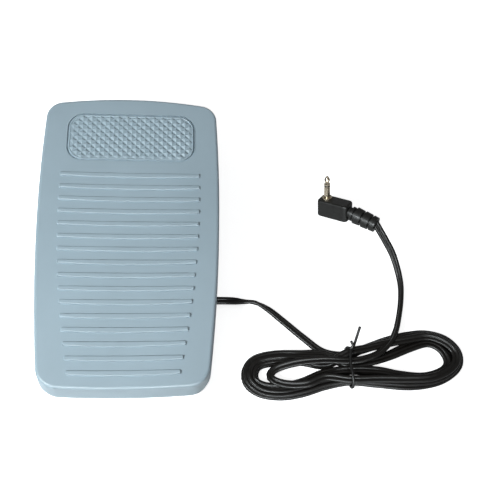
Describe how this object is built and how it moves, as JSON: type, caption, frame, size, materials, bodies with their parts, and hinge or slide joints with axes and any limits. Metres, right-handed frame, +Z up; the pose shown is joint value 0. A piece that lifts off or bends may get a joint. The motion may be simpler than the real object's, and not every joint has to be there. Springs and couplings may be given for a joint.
{
  "type": "sewing machine foot control",
  "caption": "Wedge-shaped foot control with a ribbed hinged cover, grip panel, spring return, geared potentiometer and a tied two-core lead with a right-angle jack plug.",
  "frame": {"origin": "on the floor, under the middle of the cover's length and width", "axes": "+Z up, +Y from the heel (hinge) to the toe, +X to the side where the lead leaves"},
  "size_m": [0.2284, 0.1653, 0.0396],
  "materials": {
    "cover_plastic": "satin",
    "panel_plastic": "satin",
    "tray_plastic": "satin",
    "black_rubber": "matt",
    "steel": "zinc plated",
    "spring_steel": "bright wire",
    "nylon": "satin",
    "pot_black": "satin",
    "plug_nickel": "nickel plated",
    "brass": "tinned",
    "board": "phenolic board",
    "resistor_paint": "lacquered",
    "capacitor_paint": "dipped",
    "core_insulation": "smooth",
    "lead_pvc": "semi-gloss",
    "plug_pvc": "satin",
    "tie_plastic": "satin"
  },
  "bodies": {
    "base": {"base_tray": "tray_plastic", "rubber_feet": "black_rubber", "stop_bumpers": "black_rubber", "hinge_axle": "steel", "axle_clips": "steel", "return_springs": "spring_steel", "potentiometer_body": "pot_black", "pot_terminals": "brass", "pot_washer": "steel", "pot_nut": "steel", "pot_bracket": "steel", "bracket_screws": "steel", "board_screws": "steel", "circuit_board": "board", "board_resistor": "resistor_paint", "board_capacitor": "capacitor_paint", "cable_clamp": "nylon", "clamp_screws": "steel", "lead_wires": "core_insulation", "plug_body": "plug_pvc", "plug_sleeve": "plug_nickel", "plug_insulator": "plug_pvc", "plug_tip": "plug_nickel", "cable": "lead_pvc", "twist_tie": "tie_plastic"},
    "cover": {"pedal_cover": "cover_plastic", "grip_panel": "panel_plastic", "sector_gear": "nylon", "sector_screws": "steel"},
    "pot_rotor": {"potentiometer_shaft": "steel", "pot_pinion": "nylon", "pot_wiper": "pot_black"}
  },
  "joints": [
    {"name": "pedal_press", "type": "hinge", "parent": "base", "child": "cover", "pos_m": [0, -0.07, 0.0095], "axis": [-1, 0, 0], "range_deg": [0, 5.5], "deforming": ["return_springs"]},
    {"name": "pot_turn", "type": "hinge", "parent": "base", "child": "pot_rotor", "pos_m": [0, -0.01961, 0.012], "axis": [1, 0, 0], "range_deg": [0, 60.5]}
  ],
  "couplings": [
    {"joint": "pot_turn", "follows": "pedal_press", "ratio": 11}
  ]
}
